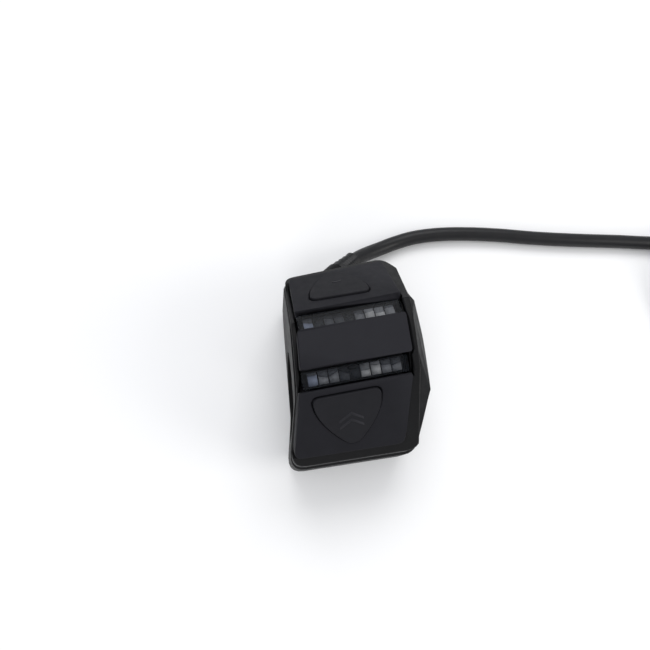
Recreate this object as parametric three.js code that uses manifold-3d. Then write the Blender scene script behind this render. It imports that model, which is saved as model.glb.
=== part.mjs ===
// Handlebar thumb shifter pod: three press pads stepped round a 22.2 mm bar, with two lit windows
// between them.
// Millimetres. The origin is on the bar's axis at the pod's middle, +X runs along the bar,
// +Y points forward, away from the rider, and +Z points up out of the middle pad.
import * as THREE from "three";
import { mergeVertices } from "three/addons/utils/BufferGeometryUtils.js";
import Module from "manifold-3d";

const wasm = await Module();
wasm.setup();

// Driving dimensions
const BAR_RADIUS = 11.1;
const SKEW = 0.107; // the pads' long edges run forward by this much for each millimetre to the right
const RIDGE = [
  // the pads' top line in the YZ plane, from the rider's side forward
  [-16.2, 12.0],
  [-2.4, 26.45],
  [2.25, 27.6],
  [11.75, 27.6],
  [16.4, 26.45],
  [30.6, 12.0],
];
const PAD_PROUD = 1.3; // how far the pads stand out of the bezel
const PAD_THICK = 2.0;
const SKIRT_DEPTH = 2.7;
const SKIRT_THICK = 0.8;
const WALL = 1.7;
const LEFT_WALL = 1.05;
const GAP = 0.3; // between pieces that rest on each other
const TRAY_GAP = 0.55; // between the pads and the bezel's opening
const SEAM_DEPTH = 4.5; // the bezel's lower edge, under the pads' top line
const SHELF_DEPTH = 3.4; // the bezel's left wall, which the pads overhang
const SPLIT_Z = 0.15; // half the gap between the two clamp halves
const BASE_Z = -14.2; // the flat underside
const SADDLE_RADIUS = 13.2;
const LINER_THICK = 0.55;
const BORE_RADIUS = BAR_RADIUS + LINER_THICK + 0.3;
const CHASSIS_DEPTH = 6.0; // from the pads' top surface to the chassis
const CHASSIS_THICK = 1.4;
const THROUGH = 30; // half the length of a cut that runs right through the pod
const ABOVE = 5; // how far a cut into a strip starts above it
const BELOW = 9; // how deep a cut into a strip goes where it opens it all the way

// Plans of the bezel and of the clamp halves under it, which stand out as a lip and swell round the bar
// on the right. Each corner is [x, y, radius], from the near left one round to the left wall's bend.
const BEZEL_PLAN = [
  [-15.75, -18.8, 4],
  [17.2, -16.8, 3.6],
  [16.9, 29.0, 3],
  [13.9, 35.3, 2.6],
  [-13.55, 30.1, 2.4],
  [-13.55, -4, 1],
];
const CLAMP_PLAN = [
  [-16.0, -19.35, 4.4],
  [17.0, -17.5, 3],
  [18.3, -10.5, 3],
  [19.6, -1.5, 3],
  [19.6, 9.5, 3],
  [17.2, 20.5, 3],
  [17.2, 29.4, 2.5],
  [14.2, 35.8, 2.5],
  [-13.9, 30.55, 2.8],
  [-13.9, -4, 1],
];
const BEZEL_WALLS = [WALL, WALL, WALL, WALL, LEFT_WALL, LEFT_WALL];
const CLAMP_WALLS = [WALL, WALL, WALL, WALL, WALL, WALL, WALL, WALL, LEFT_WALL, LEFT_WALL];

// Solids
function solid(geometry) {
  const bare = geometry.index ? geometry.toNonIndexed() : geometry.clone();
  bare.deleteAttribute("normal");
  bare.deleteAttribute("uv");
  const merged = mergeVertices(bare, 1e-4);
  return new wasm.Manifold(
    new wasm.Mesh({
      numProp: 3,
      vertProperties: new Float32Array(merged.attributes.position.array),
      triVerts: new Uint32Array(merged.index.array),
    }),
  );
}

function geometryOf(body) {
  const mesh = body.getMesh();
  const geometry = new THREE.BufferGeometry();
  geometry.setAttribute("position", new THREE.BufferAttribute(mesh.vertProperties, 3));
  geometry.setIndex(new THREE.BufferAttribute(mesh.triVerts, 1));
  geometry.computeVertexNormals();
  return geometry;
}

const join = (first, ...others) => others.reduce((body, other) => body.add(other), first);
const cut = (first, ...others) => others.reduce((body, other) => body.subtract(other), first);
const meet = (first, ...others) => others.reduce((body, other) => body.intersect(other), first);

function box(x0, x1, y0, y1, z0, z1) {
  const geometry = new THREE.BoxGeometry(x1 - x0, y1 - y0, z1 - z0);
  return geometry.translate((x0 + x1) / 2, (y0 + y1) / 2, (z0 + z1) / 2);
}

function rodX(radius, x0, x1, y = 0, z = 0, sides = 64) {
  const geometry = new THREE.CylinderGeometry(radius, radius, x1 - x0, sides);
  return geometry.rotateZ(-Math.PI / 2).translate((x0 + x1) / 2, y, z);
}

function rodZ(radius, x, y, z0, z1, sides = 28) {
  const geometry = new THREE.CylinderGeometry(radius, radius, z1 - z0, sides);
  return geometry.rotateX(Math.PI / 2).translate(x, y, (z0 + z1) / 2);
}

// A closed outline of [x, y, radius] corners, each rounded by its own radius or by the given one.
function roundedShape(corners, radius) {
  const shape = new THREE.Shape();
  const points = corners.map(([x, y]) => new THREE.Vector2(x, y));
  points.forEach((corner, i) => {
    const before = points[(i + points.length - 1) % points.length];
    const after = points[(i + 1) % points.length];
    const reach = corners[i][2] ?? radius;
    const start = corner.clone().add(before.clone().sub(corner).setLength(reach));
    const end = corner.clone().add(after.clone().sub(corner).setLength(reach));
    if (i === 0) shape.moveTo(start.x, start.y);
    else shape.lineTo(start.x, start.y);
    shape.quadraticCurveTo(corner.x, corner.y, end.x, end.y);
  });
  shape.closePath();
  return shape;
}

function slab(shape, z0, z1, curveSegments = 5) {
  const geometry = new THREE.ExtrudeGeometry(shape, { depth: z1 - z0, bevelEnabled: false, curveSegments });
  return geometry.translate(0, 0, z0);
}

// A YZ outline run along X.
function alongX(outline, x0, x1) {
  const shape = new THREE.Shape(outline.map(([y, z]) => new THREE.Vector2(y, z)));
  const geometry = new THREE.ExtrudeGeometry(shape, { depth: x1 - x0, bevelEnabled: false });
  const turn = new THREE.Matrix4().makeBasis(
    new THREE.Vector3(0, 1, 0),
    new THREE.Vector3(0, 0, 1),
    new THREE.Vector3(1, 0, 0),
  );
  return geometry.applyMatrix4(turn).translate(x0, 0, 0);
}

// Leans a shape forward along the bar, as the pads' edges run.
function skewed(geometry) {
  return geometry.applyMatrix4(new THREE.Matrix4().makeShear(SKEW, 0, 0, 0, 0, 0));
}

// The ridge moved inward by a depth, with its two ends run on by a length.
function ridgeAt(depth, runOn = 0) {
  const lines = RIDGE.slice(1).map((to, i) => {
    const from = RIDGE[i];
    const along = new THREE.Vector2(to[0] - from[0], to[1] - from[1]).normalize();
    const inward = new THREE.Vector2(along.y, -along.x).multiplyScalar(depth);
    return { point: new THREE.Vector2(...from).add(inward), along };
  });
  const last = RIDGE.length - 1;
  const end = new THREE.Vector2(...RIDGE[last]).add(
    new THREE.Vector2(lines[last - 1].along.y, -lines[last - 1].along.x).multiplyScalar(depth),
  );
  const points = [lines[0].point.clone().addScaledVector(lines[0].along, -runOn)];
  for (let i = 1; i < lines.length; i++) {
    const a = lines[i - 1];
    const b = lines[i];
    const t = b.point.clone().sub(a.point).cross(b.along) / a.along.cross(b.along);
    points.push(a.point.clone().addScaledVector(a.along, t));
  }
  points.push(end.addScaledVector(lines[last - 1].along, runOn));
  return points.map((p) => [p.x, p.y]);
}

// The space under the ridge at a depth, down to below the bar.
function underRidge(depth, x0 = -THROUGH, x1 = THROUGH) {
  const bottom = -20;
  const line = ridgeAt(depth, 24);
  return skewed(alongX([...line, [line.at(-1)[0], bottom], [line[0][0], bottom]], x0, x1));
}

// A plan with each of its sides moved inward by its own amount, and its corners' radii cut down to match.
function insetPlan(plan, amounts) {
  const sides = plan.map(([x, y], i) => {
    const [nextX, nextY] = plan[(i + 1) % plan.length];
    const along = new THREE.Vector2(nextX - x, nextY - y).normalize();
    const start = new THREE.Vector2(x - along.y * amounts[i], y + along.x * amounts[i]);
    return { start, along };
  });
  return sides.map((side, i) => {
    const before = sides[(i + sides.length - 1) % sides.length];
    const t = side.start.clone().sub(before.start).cross(side.along) / before.along.cross(side.along);
    const corner = before.start.clone().addScaledVector(before.along, t);
    return [corner.x, corner.y, Math.max(plan[i][2] - amounts[i], 0.3)];
  });
}

// A large block to the right of a drafted end plane: x = at + draft * z.
function endBlock(at, draft) {
  const size = 90;
  const block = new THREE.BoxGeometry(size, size, size).translate(size / 2, 0, 0);
  return block.rotateY(Math.atan(draft)).translate(at, 0, 0);
}

// Facets: one flat strip of the ridge each. U runs along the bar, V forward, N out of the strip.
function facet(index) {
  const [a, b] = [RIDGE[index], RIDGE[index + 1]];
  const origin = new THREE.Vector3(0, (a[0] + b[0]) / 2, (a[1] + b[1]) / 2);
  const slope = new THREE.Vector3(0, b[0] - a[0], b[1] - a[1]).normalize();
  const u = new THREE.Vector3(1, SKEW, 0).normalize();
  const n = u.clone().cross(slope).normalize();
  const v = n.clone().cross(u);
  const matrix = new THREE.Matrix4().makeBasis(u, v, n).setPosition(origin);
  const local = ([x, y]) => {
    const z = origin.z - (n.x * x + n.y * (y - origin.y)) / n.z;
    const from = new THREE.Vector3(x, y, z).sub(origin);
    return [from.dot(u), from.dot(v)];
  };
  return { matrix, local, group: groupAt(matrix), width: Math.hypot(b[0] - a[0], b[1] - a[1]) };
}

function groupAt(matrix) {
  const group = new THREE.Group();
  group.position.setFromMatrixPosition(matrix);
  group.quaternion.setFromRotationMatrix(matrix);
  return group;
}

const lowerFacet = facet(0);
const lowerWindow = facet(1);
const middleFacet = facet(2);
const upperWindow = facet(3);
const upperFacet = facet(4);

// Finishes
const finish = (color, roughness, metalness = 0) =>
  new THREE.MeshStandardMaterial({ color, roughness, metalness });
const SHELL = finish(0x1c1c1e, 0.62);
const PAD = finish(0x242427, 0.7);
const INLAY = finish(0x202022, 0.78);
const LENS = finish(0x30343a, 0.2);
const GUIDE = finish(0x77787a, 0.5);
const RUBBER = finish(0x141414, 0.85);
const STEEL = finish(0x9a9c9f, 0.35, 1);
const BRASS = finish(0xb08d45, 0.4, 1);
const BOARD = finish(0x1d4a35, 0.5);
const SWITCH = finish(0x2b2b2e, 0.5);
const PLUNGER = finish(0xcfcac0, 0.5);

const pod = new THREE.Group();

function add(parent, name, geometry, material) {
  const mesh = new THREE.Mesh(geometry, material);
  mesh.name = name;
  parent.add(mesh);
}

// Plans of the three pads: near left, near right, far right and far left corners as [x, y, radius].
const LOWER_PLAN = [
  [-14.85, -17.1, 2.2],
  [12.4, -15.45, 2.2],
  [12.8, -1.27, 0.6],
  [-12.9, -3.53, 0.6],
];
const MIDDLE_PLAN = [
  [-12.7, 1.0, 1.1],
  [13.1, 3.5, 1.1],
  [12.8, 13.24, 1.1],
  [-12.7, 10.3, 1.1],
];
const UPPER_PLAN = [
  [-12.7, 14.85, 0.6],
  [12.8, 18.6, 0.6],
  [12.7, 33.2, 1.6],
  [-12.7, 28.45, 1.2],
];
const outlineOn = (strip, plan) => plan.map((corner) => [...strip.local(corner), corner[2]]);

// Housing
const INSIDE_RIGHT = 13.9; // the bezel's inside face on the right
const RIGHT_EDGE = 17.45; // the bezel's drafted right end
const RIGHT_DRAFT = -0.1;

// The inside faces of the clamp body's near and far walls, where the bezel's snap hooks catch
const HOOK_AT = [-4.5, 4.5];
const HOOK_HALF = 2.2;
const HOOK_ROOM = 2.6;
const HOOK_TOP = 6.4;
const nearWall = (x) => -17.84 + 0.061 * x;
const farWall = (x) => 32.67 + 0.189 * x;

const WINDOW_ROOM = [-12.6, 13.4];

// The bezel's opening: room round each pad and window, cut square to its strip. On the left it runs out
// over the bezel's lowered wall, which the pads overhang.
function trayCut() {
  const inside = 0.4;
  const beyond = -5;
  const deep = [-TRAY_GAP, -TRAY_GAP, -TRAY_GAP, inside];
  const shallow = [-TRAY_GAP, -TRAY_GAP, -TRAY_GAP, beyond];
  const padRoom = [
    [lowerFacet, LOWER_PLAN],
    [middleFacet, MIDDLE_PLAN],
    [upperFacet, UPPER_PLAN],
  ].flatMap(([strip, plan]) => {
    const room = (amounts, depth) => {
      const outline = roundedShape(insetPlan(outlineOn(strip, plan), amounts));
      return solid(slab(outline, -depth, ABOVE).applyMatrix4(strip.matrix));
    };
    return [room(deep, BELOW), room(shallow, SHELF_DEPTH)];
  });
  const windowRoom = [lowerWindow, upperWindow].flatMap((strip) => {
    const reach = strip.width / 2 + 1;
    const room = (left, depth) =>
      solid(box(left, WINDOW_ROOM[1], -reach, reach, -depth, ABOVE).applyMatrix4(strip.matrix));
    return [room(WINDOW_ROOM[0], BELOW), room(-20, SHELF_DEPTH)];
  });
  return join(...padRoom, ...windowRoom);
}

function bezelBody() {
  const layer = cut(solid(underRidge(PAD_PROUD, -20, 20)), solid(underRidge(SEAM_DEPTH)));
  const outer = meet(layer, solid(slab(roundedShape(BEZEL_PLAN), 0, 40)));
  const cavity = meet(
    solid(underRidge(PAD_PROUD + WALL, -20, INSIDE_RIGHT)),
    solid(slab(roundedShape(insetPlan(BEZEL_PLAN, BEZEL_WALLS)), -ABOVE, 40)),
  );
  const shell = cut(outer, solid(endBlock(RIGHT_EDGE, RIGHT_DRAFT)), cavity, trayCut());
  const hooks = HOOK_AT.flatMap((x) => [
    solid(box(x - HOOK_HALF, x + HOOK_HALF, nearWall(x) + 0.75, nearWall(x) + 2.1, 2.6, HOOK_TOP)),
    solid(box(x - HOOK_HALF, x + HOOK_HALF, farWall(x) - 2.2, farWall(x) - 0.85, 1.6, HOOK_TOP)),
  ]);
  return join(shell, ...hooks);
}

const SCREW_SPOTS = [
  [-11.1, -14.9],
  [10.4, -14.3],
  [-9.6, 17.5],
  [10.5, 17.5],
];
const SCREW_HEAD_Z = -5.6;
const INSERT_Z = [0.6, 3.8];
const INSERT_RADIUS = 2.05;
const SCREW_RADIUS = 1.45;
const HEAD_RADIUS = 2.65;
const SHOULDER_AT = 27.8; // the slope from the bezel's right edge down to the swell round the bar
const SHOULDER_SLOPE = -0.527;
const SHOULDER_THICK = 2.1;
const BOSS_RADIUS = 3.0;
const LOWER_BOSS_RADIUS = 4.1;
const RIB_HALF = 0.8;
const RIB_Y = [11.5, 16.5]; // from the saddle to the two forward bosses

// What closes the seam on the inside: a flange from the clamp body's walls in to the bezel's mouth, and
// a tongue that stands up behind the bezel's near, right and far walls.
const MOUTH = [3.6, 4.1, 3.4, 4.0, 0.65, 0.65];
const BEHIND_WALLS = [2.0, 3.4, 2.0, 2.0, LEFT_WALL + GAP, LEFT_WALL + GAP];
const FLANGE_THICK = 1.3;
const TONGUE_DEPTH = 3.3;

function seamRim(outer) {
  const layer = (from, to) => cut(solid(underRidge(from, -20, 24)), solid(underRidge(to)));
  const plan = (amounts) => solid(slab(roundedShape(insetPlan(BEZEL_PLAN, amounts)), -1, 40));
  const flange = meet(layer(SEAM_DEPTH + GAP, SEAM_DEPTH + GAP + FLANGE_THICK), outer);
  const tongue = meet(layer(TONGUE_DEPTH, SEAM_DEPTH + GAP + FLANGE_THICK), plan(BEHIND_WALLS));
  return cut(join(flange, tongue), plan(MOUTH));
}

function clampBody() {
  const outer = cut(
    meet(solid(underRidge(SEAM_DEPTH + GAP, -20, 24)), solid(slab(roundedShape(CLAMP_PLAN), SPLIT_Z, 30))),
    solid(endBlock(SHOULDER_AT, SHOULDER_SLOPE)),
  );
  const hollow = cut(
    solid(slab(roundedShape(insetPlan(CLAMP_PLAN, CLAMP_WALLS)), -1, 40)),
    solid(endBlock(SHOULDER_AT - SHOULDER_THICK, SHOULDER_SLOPE)),
  );
  const saddle = meet(solid(rodX(SADDLE_RADIUS, -THROUGH, THROUGH)), outer);
  const bosses = SCREW_SPOTS.map(([x, y]) => meet(solid(rodZ(BOSS_RADIUS, x, y, SPLIT_Z, 7.6)), outer));
  const ribs = SCREW_SPOTS.slice(2).map(([x]) =>
    solid(box(x - RIB_HALF, x + RIB_HALF, ...RIB_Y, SPLIT_Z, 7)),
  );
  const body = join(cut(outer, hollow), saddle, seamRim(outer), ...bosses, ...ribs);
  const hookRoom = HOOK_AT.flatMap((x) => [
    solid(box(x - HOOK_ROOM, x + HOOK_ROOM, nearWall(x) + 0.4, nearWall(x) + 2.4, 2.2, BELOW)),
    solid(box(x - HOOK_ROOM, x + HOOK_ROOM, farWall(x) - 2.55, farWall(x) - 0.5, 1.2, BELOW)),
  ]);
  const inserts = SCREW_SPOTS.map(([x, y]) => solid(rodZ(INSERT_RADIUS + GAP, x, y, -1, INSERT_Z[1] + GAP)));
  return cut(body, solid(rodX(BORE_RADIUS, -THROUGH, THROUGH)), ...hookRoom, ...inserts);
}

// The lead leaves the lower half forward and to the right, sloping down to the surface the pod stands on.
const EXIT = new THREE.Vector3(3.42, 36.68, -6.23);
const EXIT_WAY = new THREE.Vector3(0.74, 0.64, -0.2).normalize();
const LEAD_RADIUS = 2.2;
const GLAND_RADIUS = 3.7;
const GLAND_LENGTH = 12.5; // back to where its end lies inside the slanting wall

// A turned profile, radius against distance along the way, starting from a point.
function turned(profile, from, way, sides = 28) {
  const lathe = new THREE.LatheGeometry(
    profile.map(([r, s]) => new THREE.Vector2(r, s)),
    sides,
  );
  const quaternion = new THREE.Quaternion().setFromUnitVectors(new THREE.Vector3(0, 1, 0), way);
  return lathe.applyQuaternion(quaternion).translate(from.x, from.y, from.z);
}

const rodOn = (radius, s0, s1, from = EXIT, way = EXIT_WAY, sides = 28) =>
  turned(
    [
      [0, s0],
      [radius, s0],
      [radius, s1],
      [0, s1],
    ],
    from,
    way,
    sides,
  );

const UNDER = -20; // below the underside, where cuts from below start

// The lower half's outline seen from the side, and the outline of its hollow, both as [y, z].
const UNDERSIDE = [
  [-30, -SPLIT_Z],
  [-30, -6.5],
  [-18.6, -6.5],
  [-12.5, BASE_Z],
  [22, BASE_Z],
  [32.8, -9.8],
  [45, -9.8],
  [45, -SPLIT_Z],
];
const UNDERSIDE_INNER = [
  [-30, 0],
  [-30, -5.2],
  [-17.6, -5.2],
  [-11.8, BASE_Z + WALL],
  [21.6, BASE_Z + WALL],
  [31.0, -8.6],
  [45, -8.6],
  [45, 0],
];

function lowerShell() {
  const outer = meet(
    solid(skewed(alongX(UNDERSIDE, -THROUGH, THROUGH))),
    solid(slab(roundedShape(CLAMP_PLAN), UNDER, -SPLIT_Z)),
  );
  const inner = meet(
    solid(skewed(alongX(UNDERSIDE_INNER, -THROUGH, THROUGH))),
    solid(slab(roundedShape(insetPlan(CLAMP_PLAN, CLAMP_WALLS)), UNDER, 1)),
  );
  const saddle = meet(solid(rodX(SADDLE_RADIUS, -THROUGH, THROUGH)), outer);
  const bosses = SCREW_SPOTS.map(([x, y]) =>
    meet(solid(rodZ(LOWER_BOSS_RADIUS, x, y, UNDER, -SPLIT_Z)), outer),
  );
  const ribs = SCREW_SPOTS.slice(2).map(([x]) => solid(box(x - RIB_HALF, x + RIB_HALF, ...RIB_Y, -13, -1)));
  const gland = meet(
    solid(rodOn(GLAND_RADIUS, -GLAND_LENGTH, 0)),
    solid(box(-40, 40, 20, 60, UNDER, -SPLIT_Z)),
  );
  const body = join(cut(outer, inner), saddle, ...bosses, ...ribs, gland);
  const holes = SCREW_SPOTS.flatMap(([x, y]) => [
    solid(rodZ(SCREW_RADIUS + GAP, x, y, UNDER, 1)),
    solid(rodZ(BOSS_RADIUS, x, y, UNDER, SCREW_HEAD_Z + 0.1)),
  ]);
  const leadHole = solid(rodOn(LEAD_RADIUS + GAP, -GLAND_LENGTH - 1, 3));
  return cut(body, solid(rodX(BORE_RADIUS, -THROUGH, THROUGH)), ...holes, leadHole);
}

const LINER_ENDS = [-13, 19];
const LINER_BORE = BAR_RADIUS + 0.05;
const LINER_SPLIT = 0.4;

function liner(side) {
  const tube = cut(
    solid(rodX(LINER_BORE + LINER_THICK, ...LINER_ENDS)),
    solid(rodX(LINER_BORE, -THROUGH, THROUGH)),
  );
  const [bottom, top] = side > 0 ? [LINER_SPLIT, -UNDER] : [UNDER, -LINER_SPLIT];
  return meet(tube, solid(box(-40, 40, -40, 40, bottom, top)));
}

// A clamp screw with a low round head and a hexagonal socket, head down.
function clampScrew() {
  const shank = solid(rodZ(SCREW_RADIUS, 0, 0, SCREW_HEAD_Z - 0.1, INSERT_Z[1] - 0.2, 20));
  const head = solid(rodZ(HEAD_RADIUS, 0, 0, SCREW_HEAD_Z - 1.8, SCREW_HEAD_Z, 28));
  return cut(join(shank, head), solid(rodZ(1.1, 0, 0, SCREW_HEAD_Z - 3, SCREW_HEAD_Z - 0.7, 6)));
}

const insert = () => cut(solid(rodZ(INSERT_RADIUS, 0, 0, ...INSERT_Z)), solid(rodZ(1.55, 0, 0, 0, 8)));

add(pod, "top_bezel", geometryOf(bezelBody()), SHELL);
add(pod, "clamp_body", geometryOf(clampBody()), SHELL);
add(pod, "lower_clamp_shell", geometryOf(lowerShell()), SHELL);
add(pod, "upper_bar_liner", geometryOf(liner(1)), RUBBER);
add(pod, "lower_bar_liner", geometryOf(liner(-1)), RUBBER);

SCREW_SPOTS.forEach(([x, y], i) => {
  const spot = new THREE.Group();
  spot.position.set(x, y, 0);
  add(spot, `clamp_screw_${i + 1}`, geometryOf(clampScrew()), STEEL);
  add(spot, `clamp_insert_${i + 1}`, geometryOf(insert()), BRASS);
  pod.add(spot);
});

// Paddles and their hinges. Heights are measured from the pad's top surface along the strip's normal.
const HINGE_FROM_EDGE = 4.2;
const HINGE_DEPTH = 3.3;
const PIN_RADIUS = 0.6;
const KNUCKLE_AT = [-7.5, 7.5];
const EAR_AT = [-10.8, 10.4];
const PRESS_ARM = 11; // from the hinge to the switch
const PIN_ENDS = [-11.8, 11.5];
const KNUCKLE_HALF = 1.5;
const KNUCKLE_RADIUS = 1.25;
const NUB_RADIUS = 1.8;
const NUB_DEPTH = 0.25;

function windowSlot(strip, intoStrip) {
  const half = strip.width / 2;
  const slot = box(-THROUGH, THROUGH, -half, half, -BELOW, ABOVE).applyMatrix4(strip.matrix);
  return solid(slot.applyMatrix4(intoStrip.matrix.clone().invert()));
}

// The outline of a relief on a pad: a straight side towards the window and a rounded point away from it.
// It leans along the bar by lean for each millimetre forward.
function shieldShape({ width, height, lean }, grow, sign) {
  const half = width / 2 + grow;
  const top = sign * (height / 2 + grow);
  const tip = -top;
  const round = 1.9;
  const at = (x, y) => [x + lean * y, y];
  const shape = new THREE.Shape();
  shape.moveTo(...at(-half + round, top));
  shape.lineTo(...at(half - round, top));
  shape.quadraticCurveTo(...at(half, top), ...at(half, top - sign * round));
  for (const side of [1, -1]) {
    const high = [side * half, top - sign * 0.45 * height];
    const low = [side * 0.45 * half, tip + sign * 0.17 * height];
    const end = [side * 0.16 * half, tip + sign * 0.033 * height];
    if (side > 0) {
      shape.bezierCurveTo(...at(...high), ...at(...low), ...at(...end));
      shape.quadraticCurveTo(...at(0, tip), ...at(-end[0], end[1]));
    } else {
      shape.bezierCurveTo(...at(...low), ...at(...high), ...at(-half, top - sign * round));
    }
  }
  shape.quadraticCurveTo(...at(-half, top), ...at(-half + round, top));
  return shape;
}

// The nub under a pad that meets the switch's plunger.
const nub = (v) => solid(rodZ(NUB_RADIUS, 0, v, -PAD_THICK - NUB_DEPTH, -PAD_THICK + 0.2, 20));

// A pad's plate with a skirt down its left side.
function padPlate(strip, plan) {
  const outline = outlineOn(strip, plan);
  const shape = roundedShape(outline);
  const [near, far] = [outline[0], outline[3]].map(([u, v]) => new THREE.Vector2(u + SKIRT_THICK, v));
  const way = far.clone().sub(near);
  const inside = new THREE.Shape([
    near.clone().sub(way),
    new THREE.Vector2(40, near.y - way.y),
    new THREE.Vector2(40, far.y + way.y),
    far.clone().add(way),
  ]);
  const skirt = cut(solid(slab(shape, -SKIRT_DEPTH, -PAD_THICK + 0.5)), solid(slab(inside, -BELOW, ABOVE)));
  return join(solid(slab(shape, -PAD_THICK, 0)), skirt);
}

const INLAY_GAP = 0.28;
const INLAY_DEPTH = 0.75;
const INLAY_PROUD = 0.4;

function paddleParts(name, strip, window, plan, sign, shield) {
  const edge = sign * (strip.width / 2);
  const hinge = edge - sign * HINGE_FROM_EDGE;
  const plate = padPlate(strip, plan);
  const knuckles = KNUCKLE_AT.map((u) =>
    join(
      solid(rodX(KNUCKLE_RADIUS, u - KNUCKLE_HALF, u + KNUCKLE_HALF, hinge, -HINGE_DEPTH, 20)),
      solid(
        box(
          u - KNUCKLE_HALF,
          u + KNUCKLE_HALF,
          hinge - KNUCKLE_RADIUS,
          hinge + KNUCKLE_RADIUS,
          -HINGE_DEPTH,
          -PAD_THICK + 0.3,
        ),
      ),
    ),
  );
  const place = new THREE.Matrix4().makeTranslation(shield.u, shield.v, 0);
  const pocket = slab(shieldShape(shield, INLAY_GAP, sign), -INLAY_DEPTH, 2, 7);
  const body = cut(
    join(plate, ...knuckles, nub(hinge - sign * PRESS_ARM)),
    windowSlot(window, strip),
    solid(rodX(PIN_RADIUS + 0.1, -THROUGH, THROUGH, hinge, -HINGE_DEPTH, 20)),
    solid(pocket.applyMatrix4(place)),
  );
  add(strip.group, `${name}_paddle`, geometryOf(body), PAD);
  const inlay = slab(shieldShape(shield, 0, sign), -INLAY_DEPTH + 0.2, INLAY_PROUD, 7);
  add(strip.group, `${name}_shield_inlay`, inlay.applyMatrix4(place), INLAY);
  add(strip.group, `${name}_hinge_pin`, rodX(PIN_RADIUS, ...PIN_ENDS, hinge, -HINGE_DEPTH, 20), STEEL);
  switchParts(name, strip, hinge - sign * PRESS_ARM);
  pod.add(strip.group);
  return hinge;
}

// A square push switch on its own small board, under a pad at (0, v). Its plunger meets the pad's nub.
const SWITCH_SIZE = 6;
const SWITCH_TOP = -3.35;
const SWITCH_BOTTOM = -5.0;
const SWITCH_BOARD_HALVES = [6, 4];
const PLUNGER_RADIUS = 1.35;

function switchParts(name, strip, v) {
  const half = SWITCH_SIZE / 2;
  const body = cut(
    solid(box(-half, half, v - half, v + half, SWITCH_BOTTOM, SWITCH_TOP)),
    solid(rodZ(PLUNGER_RADIUS + 0.2, 0, v, SWITCH_BOTTOM + 0.25, 0, 24)),
  );
  add(strip.group, `${name}_switch_body`, geometryOf(body), SWITCH);
  const plungerTop = -PAD_THICK - NUB_DEPTH - 0.12;
  add(strip.group, `${name}_switch_plunger`, rodZ(PLUNGER_RADIUS, 0, v, -4.0, plungerTop, 24), PLUNGER);
  const [halfLong, halfWide] = SWITCH_BOARD_HALVES;
  const outline = [
    [-halfLong, v - halfWide],
    [halfLong, v - halfWide],
    [halfLong, v + halfWide],
    [-halfLong, v + halfWide],
  ];
  const board = slab(roundedShape(outline, 0.8), SWITCH_BOTTOM - 0.85, SWITCH_BOTTOM - 0.1, 3);
  add(strip.group, `${name}_switch_board`, board, BOARD);
}

const lowerHinge = paddleParts("lower", lowerFacet, lowerWindow, LOWER_PLAN, 1, {
  u: -1.5,
  v: 0.3,
  width: 15.8,
  height: 15,
  lean: -0.07,
});
const upperHinge = paddleParts("upper", upperFacet, upperWindow, UPPER_PLAN, -1, {
  u: -1.1,
  v: 1.5,
  width: 14.6,
  height: 14.6,
  lean: 0.08,
});

// Middle key: straight press, guided by two stems with a coil spring round each
const STEM_AT = [-8.5, 8.5];
const STEM_RADIUS = 0.9;
const STEM_DEPTH = 6.4;
const SPRING = { radius: 1.6, wire: 0.22, turns: 3.5, bottom: -5.55, length: 3.1 };

// A round section with a few flat sides.
function ringShape(radius, sides) {
  const points = Array.from({ length: sides }, (_, i) => {
    const angle = (i * 2 * Math.PI) / sides;
    return new THREE.Vector2(radius * Math.cos(angle), radius * Math.sin(angle));
  });
  return new THREE.Shape(points);
}

function springRound(u) {
  class Coil extends THREE.Curve {
    getPoint(t, target = new THREE.Vector3()) {
      const angle = t * SPRING.turns * 2 * Math.PI;
      const [across, along] = [SPRING.radius * Math.cos(angle), SPRING.radius * Math.sin(angle)];
      return target.set(u + across, along, SPRING.bottom + SPRING.length * t);
    }
  }
  const options = { extrudePath: new Coil(), steps: 56, bevelEnabled: false };
  return new THREE.ExtrudeGeometry(ringShape(SPRING.wire, 6), options);
}

const key = cut(
  join(
    padPlate(middleFacet, MIDDLE_PLAN),
    nub(0),
    ...STEM_AT.map((u) => solid(rodZ(STEM_RADIUS, u, 0, -STEM_DEPTH, -PAD_THICK + 0.2, 20))),
  ),
  windowSlot(lowerWindow, middleFacet),
  windowSlot(upperWindow, middleFacet),
);
add(middleFacet.group, "middle_key", geometryOf(key), PAD);
STEM_AT.forEach((u, i) => add(middleFacet.group, `key_spring_${i + 1}`, springRound(u), STEEL));
switchParts("middle", middleFacet, 0);
pod.add(middleFacet.group);

// Windows: a smoked lens over a comb of light segments, over a strip of board
const WINDOW_HALF = 12.3;
const LENS_HALF_WIDTH = 2.0;
const LEG_HALF_WIDTH = 1.4;
const LENS_THICK = 1.0;
const LEG_THICK = 1.1;
const LEG_DEPTH = 4.9;
const SEGMENTS = 9;
const SEGMENT_FILL = 0.36; // half of a segment's width, as a share of the pitch
const COMB_HALF_WIDTH = 1.5;

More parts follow.
